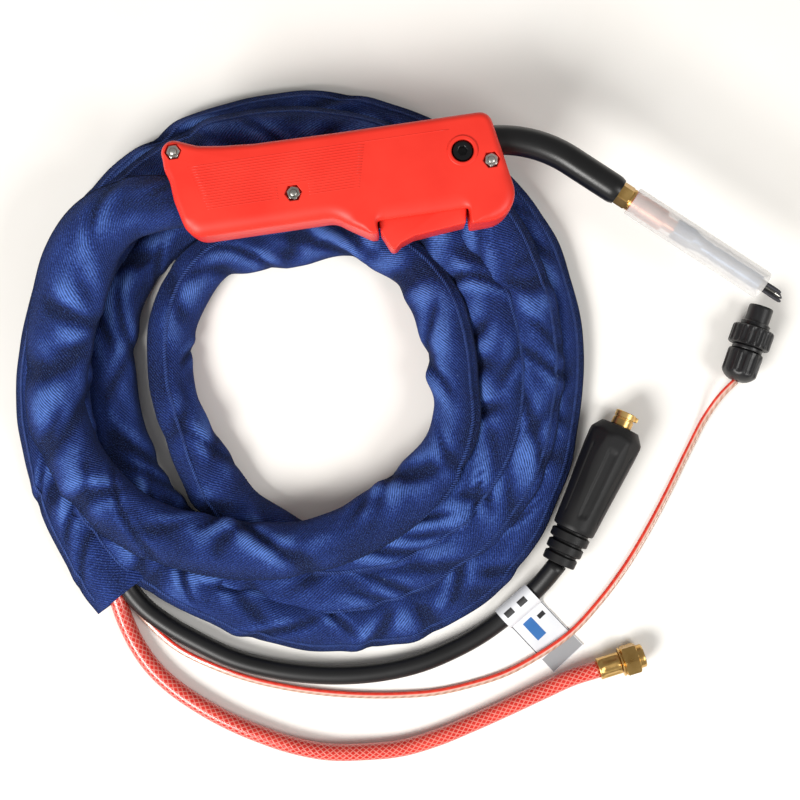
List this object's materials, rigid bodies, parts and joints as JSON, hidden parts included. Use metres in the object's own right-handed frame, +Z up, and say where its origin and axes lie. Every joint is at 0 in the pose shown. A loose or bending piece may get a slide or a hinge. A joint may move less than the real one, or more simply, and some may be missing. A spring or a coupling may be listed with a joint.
{
  "type": "tig torch",
  "caption": "Handheld welding torch with trigger, bent neck and guarded electrode, and a coiled fabric sleeve with power plug, gas hose fitting and control plug.",
  "frame": {"origin": "on the table plane, on the coil's underside, below the middle of the handle", "axes": "+X along the handle towards the neck, -Y towards the trigger side, +Z up from the table"},
  "size_m": [0.4639, 0.418, 0.0838],
  "materials": {
    "red_plastic": "satin moulded",
    "zinc_steel": "zinc plated",
    "black_steel": "black oxide",
    "dark_metal": "dark satin",
    "graphite": "matte dark",
    "brass": "machined",
    "copper": "machined copper",
    "black_plastic": "satin",
    "white_plastic": "satin",
    "milky_plastic": "translucent milky",
    "neck_rubber": "smooth",
    "cable_rubber": "smooth",
    "plug_rubber": "matte moulded",
    "hose_red": "braided under clear skin",
    "clear_lead": "clear twin lead",
    "paper": "laminated paper",
    "blue_denim": "cotton twill"
  },
  "bodies": {
    "torch": {"shell_top": "red_plastic", "shell_bottom": "red_plastic", "shell_screws": "zinc_steel", "shell_nuts": "zinc_steel", "clamp_screw": "black_steel", "clamp_block": "dark_metal", "trigger_pin": "zinc_steel", "trigger_spring": "zinc_steel", "switch_body": "black_plastic", "switch_screws": "zinc_steel", "switch_terminals": "brass", "neck_fitting": "brass", "power_stub": "cable_rubber", "gas_stub": "hose_red", "wire_stub": "clear_lead", "cable_clamp": "zinc_steel", "cable_clamp_screws": "zinc_steel", "neck_cover": "neck_rubber", "neck_tube": "brass", "collar": "brass", "contact_body": "copper", "chuck": "dark_metal", "chuck_barrel": "dark_metal", "prongs": "graphite", "electrode": "zinc_steel", "sleeve_coil": "blue_denim", "sleeve_lead": "blue_denim", "power_tail": "cable_rubber", "gas_tail": "hose_red", "control_tail": "clear_lead", "cable_label": "paper", "plug_boot": "plug_rubber", "plug_core": "brass", "plug_grub_screw": "dark_metal", "plug_pin": "brass", "hose_ferrule": "brass", "hose_nipple": "brass", "control_rear_nut": "black_plastic", "control_shell": "black_plastic", "control_insert": "black_plastic", "control_contacts": "brass"},
    "trigger": {"trigger": "red_plastic"},
    "switch_plunger": {"switch_plunger": "white_plastic"},
    "guard_tube": {"guard_tube": "milky_plastic"},
    "gas_nut": {"gas_nut": "brass"},
    "control_ring": {"control_ring": "black_plastic"}
  },
  "joints": [
    {"name": "trigger_pull", "type": "hinge", "parent": "torch", "child": "trigger", "pos_m": [0.064, -0.027, 0.064], "axis": [0, 0, -1], "range_deg": [0, 6], "stiffness_Nm_per_rad": 0.4, "springref_deg": -6.88, "deforming": ["trigger_spring"]},
    {"name": "switch_plunger_in", "type": "slide", "parent": "torch", "child": "switch_plunger", "axis": [0, 1, 0], "range_m": [0, 0.0021]},
    {"name": "guard_slide", "type": "slide", "parent": "torch", "child": "guard_tube", "axis": [0.7513, -0.66, 0], "range_m": [0, 0.105]},
    {"name": "gas_nut_swivel", "type": "hinge", "parent": "torch", "child": "gas_nut", "pos_m": [0.13425, -0.31187, 0.0099], "axis": [0.9877, 0.1564, 0], "continuous": true},
    {"name": "control_ring_turn", "type": "hinge", "parent": "torch", "child": "control_ring", "pos_m": [0.23597, -0.12619, 0.013], "axis": [0.4633, 0.8862, 0], "continuous": true}
  ],
  "couplings": [
    {"joint": "switch_plunger_in", "follows": "trigger_pull", "m_per_rad": 0.02}
  ]
}
